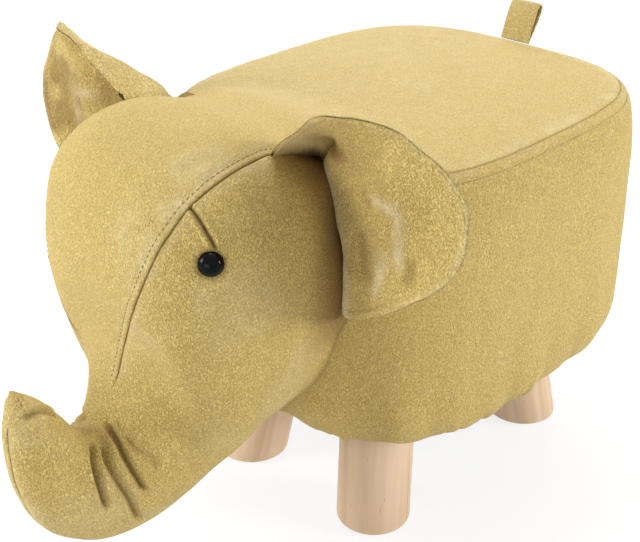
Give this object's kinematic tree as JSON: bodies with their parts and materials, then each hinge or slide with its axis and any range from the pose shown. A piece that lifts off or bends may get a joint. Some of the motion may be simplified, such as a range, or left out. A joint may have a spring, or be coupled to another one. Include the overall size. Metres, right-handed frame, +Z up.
{
  "type": "animal footstool",
  "caption": "Padded elephant footstool on splayed round wooden legs, with a stuffed head, curled trunk, cupped ears and a tail loop.",
  "frame": {"origin": "on the floor, under the middle of the overall length, between the two sides", "axes": "+Z up, the animal faces -Y with its trunk, its left side is +X"},
  "size_m": [0.3452, 0.4798, 0.3294],
  "materials": {
    "suede_cloth": "pale mustard suede cloth with a fine pebbled surface",
    "polyester_fibre": "loose white polyester fibre",
    "foam": "cream upholstery foam",
    "plywood": "raw plywood",
    "hardboard": "bent brown hardboard",
    "pine": "pale pine under a thin matt lacquer",
    "zinc_steel": "zinc plated",
    "black_plastic": "polished black",
    "white_plastic": "moulded",
    "felt": "grey needle felt",
    "nonwoven": "thin black nonwoven"
  },
  "bodies": {
    "stool": {"cover_side": "suede_cloth", "cover_top": "suede_cloth", "forehead_panel": "suede_cloth", "cheek_left": "suede_cloth", "cheek_right": "suede_cloth", "ear_left_base_front": "suede_cloth", "ear_left_base_back": "suede_cloth", "ear_right_base_front": "suede_cloth", "ear_right_base_back": "suede_cloth", "side_wadding": "polyester_fibre", "head_stuffing": "polyester_fibre", "trunk_stuffing": "polyester_fibre", "seat_foam": "foam", "base_board": "plywood", "seat_board": "plywood", "side_band": "hardboard", "leg_front_left": "pine", "leg_front_right": "pine", "leg_rear_left": "pine", "leg_rear_right": "pine", "frame_post_front_left": "pine", "frame_post_front_right": "pine", "frame_post_rear_left": "pine", "frame_post_rear_right": "pine", "hanger_bolt_front_left": "zinc_steel", "hanger_bolt_front_right": "zinc_steel", "hanger_bolt_rear_left": "zinc_steel", "hanger_bolt_rear_right": "zinc_steel", "tee_nut_front_left": "zinc_steel", "tee_nut_front_right": "zinc_steel", "tee_nut_rear_left": "zinc_steel", "tee_nut_rear_right": "zinc_steel", "screw_seat_front_left": "zinc_steel", "screw_seat_front_right": "zinc_steel", "screw_seat_rear_left": "zinc_steel", "screw_seat_rear_right": "zinc_steel", "screw_base_front_left": "zinc_steel", "screw_base_front_right": "zinc_steel", "screw_base_rear_left": "zinc_steel", "screw_base_rear_right": "zinc_steel", "eye_left": "black_plastic", "eye_right": "black_plastic", "eye_washer_left": "white_plastic", "eye_washer_right": "white_plastic", "foot_pad_front_left": "felt", "foot_pad_front_right": "felt", "foot_pad_rear_left": "felt", "foot_pad_rear_right": "felt", "dust_cover": "nonwoven"},
    "ear_left_flap": {"ear_left_flap_front": "suede_cloth", "ear_left_flap_back": "suede_cloth"},
    "ear_right_flap": {"ear_right_flap_front": "suede_cloth", "ear_right_flap_back": "suede_cloth"},
    "tail_loop": {"tail_loop": "suede_cloth"}
  },
  "joints": [
    {"name": "ear_left_flop", "type": "hinge", "parent": "stool", "child": "ear_left_flap", "pos_m": [0.09737, -0.06932, 0.19755], "axis": [0.3009, -0.1055, 0.9478], "range_deg": [-35, 35], "stiffness_Nm_per_rad": 0.06},
    {"name": "ear_right_flop", "type": "hinge", "parent": "stool", "child": "ear_right_flap", "pos_m": [-0.09737, -0.06932, 0.19755], "axis": [0.3009, 0.1055, -0.9478], "range_deg": [-35, 35], "stiffness_Nm_per_rad": 0.06},
    {"name": "tail_loop_swing", "type": "hinge", "parent": "stool", "child": "tail_loop", "pos_m": [-0.008, 0.225, 0.2683], "axis": [1, 0, 0], "range_deg": [-45, 50], "stiffness_Nm_per_rad": 0.01}
  ]
}
